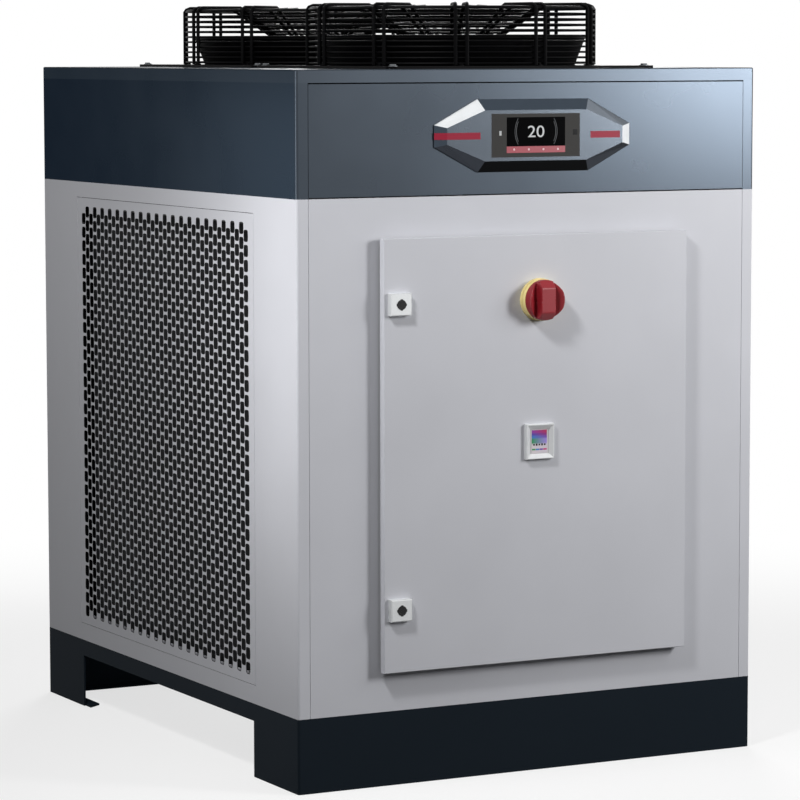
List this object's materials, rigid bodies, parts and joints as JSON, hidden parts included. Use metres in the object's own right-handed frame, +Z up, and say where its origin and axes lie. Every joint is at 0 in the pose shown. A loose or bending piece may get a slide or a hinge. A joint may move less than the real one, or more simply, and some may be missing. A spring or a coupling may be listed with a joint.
{
  "type": "water chiller",
  "caption": "Air-cooled water chiller cabinet with slotted side intakes, roof fans under wire guards, hinged electrical door and display panel.",
  "frame": {"origin": "on the floor, at the middle of the machine's plan outline", "axes": "+Z up, +Y to the rear panel with the water connections, the electrical door and display face -Y, +X to the right seen from the door"},
  "size_m": [0.815, 1.116, 1.203],
  "materials": {
    "plinth_paint": "anthracite powder coat",
    "body_paint": "light grey powder coat",
    "door_paint": "light grey powder coat",
    "band_paint": "slate grey powder coat, satin",
    "galvanised_steel": "zinc coated",
    "enclosure_paint": "light grey powder coat",
    "coil_fins": "black coated fins",
    "nozzle_paint": "black powder coat",
    "guard_wire": "black coated wire",
    "motor_casting": "as cast",
    "impeller_paint": "moulded",
    "housing_metal": "metallic grey lacquer",
    "bezel_plastic": "moulded",
    "screen_glass": "glossy black",
    "stripe_plastic": "red",
    "switch_plastic": "moulded",
    "yellow_plastic": "moulded",
    "red_plastic": "moulded",
    "frame_plastic": "silver lacquer",
    "insert_print": "printed field",
    "lock_metal": "satin nickel plated",
    "cam_steel": "zinc coated",
    "connection_brass": "turned",
    "gland_plastic": "moulded"
  },
  "bodies": {
    "cabinet": {"plinth_front": "plinth_paint", "plinth_rear": "plinth_paint", "plinth_rail_left": "plinth_paint", "plinth_rail_right": "plinth_paint", "base_pan": "galvanised_steel", "side_panel_left": "body_paint", "side_panel_right": "body_paint", "grille_left": "body_paint", "grille_right": "body_paint", "condenser_left": "coil_fins", "condenser_right": "coil_fins", "front_panel": "body_paint", "rear_panel": "body_paint", "band_front": "band_paint", "band_rear": "band_paint", "band_left": "band_paint", "band_right": "band_paint", "lid": "band_paint", "nozzle_front": "nozzle_paint", "nozzle_rear": "nozzle_paint", "guard_front": "guard_wire", "guard_rear": "guard_wire", "motor_front": "motor_casting", "motor_rear": "motor_casting", "control_housing": "housing_metal", "display_bezel": "bezel_plastic", "display_screen": "screen_glass", "accent_stripes": "stripe_plastic", "enclosure": "enclosure_paint", "mounting_plate": "galvanised_steel", "main_switch": "switch_plastic", "hinge_brackets": "galvanised_steel", "water_connections": "connection_brass", "cable_gland": "gland_plastic"},
    "door": {"door": "door_paint", "hinge_ears": "galvanised_steel", "lock_housings": "lock_metal", "handle_plate": "yellow_plastic", "interface_frame": "frame_plastic", "interface_insert": "insert_print"},
    "handle": {"handle": "red_plastic"},
    "lock_lower": {"lock_cam_lower": "cam_steel"},
    "lock_upper": {"lock_cam_upper": "cam_steel"},
    "fan_front": {"impeller_front": "impeller_paint"},
    "fan_rear": {"impeller_rear": "impeller_paint"}
  },
  "joints": [
    {"name": "door_hinge", "type": "hinge", "parent": "cabinet", "child": "door", "pos_m": [0.265, -0.515, 0.5115], "axis": [0, 0, 1], "range_deg": [0, 120]},
    {"name": "handle_turn", "type": "hinge", "parent": "door", "child": "handle", "pos_m": [0, -0.52, 0.744], "axis": [0, -1, 0], "range_deg": [0, 90]},
    {"name": "lock_upper_turn", "type": "hinge", "parent": "door", "child": "lock_upper", "pos_m": [-0.2454, -0.52, 0.7445], "axis": [0, -1, 0], "range_deg": [0, 90]},
    {"name": "lock_lower_turn", "type": "hinge", "parent": "door", "child": "lock_lower", "pos_m": [-0.2454, -0.52, 0.276], "axis": [0, -1, 0], "range_deg": [0, 90]},
    {"name": "fan_front_spin", "type": "hinge", "parent": "cabinet", "child": "fan_front", "pos_m": [0, -0.239, 1.086], "axis": [0, 0, 1], "continuous": true},
    {"name": "fan_rear_spin", "type": "hinge", "parent": "cabinet", "child": "fan_rear", "pos_m": [0, 0.239, 1.086], "axis": [0, 0, 1], "continuous": true}
  ]
}
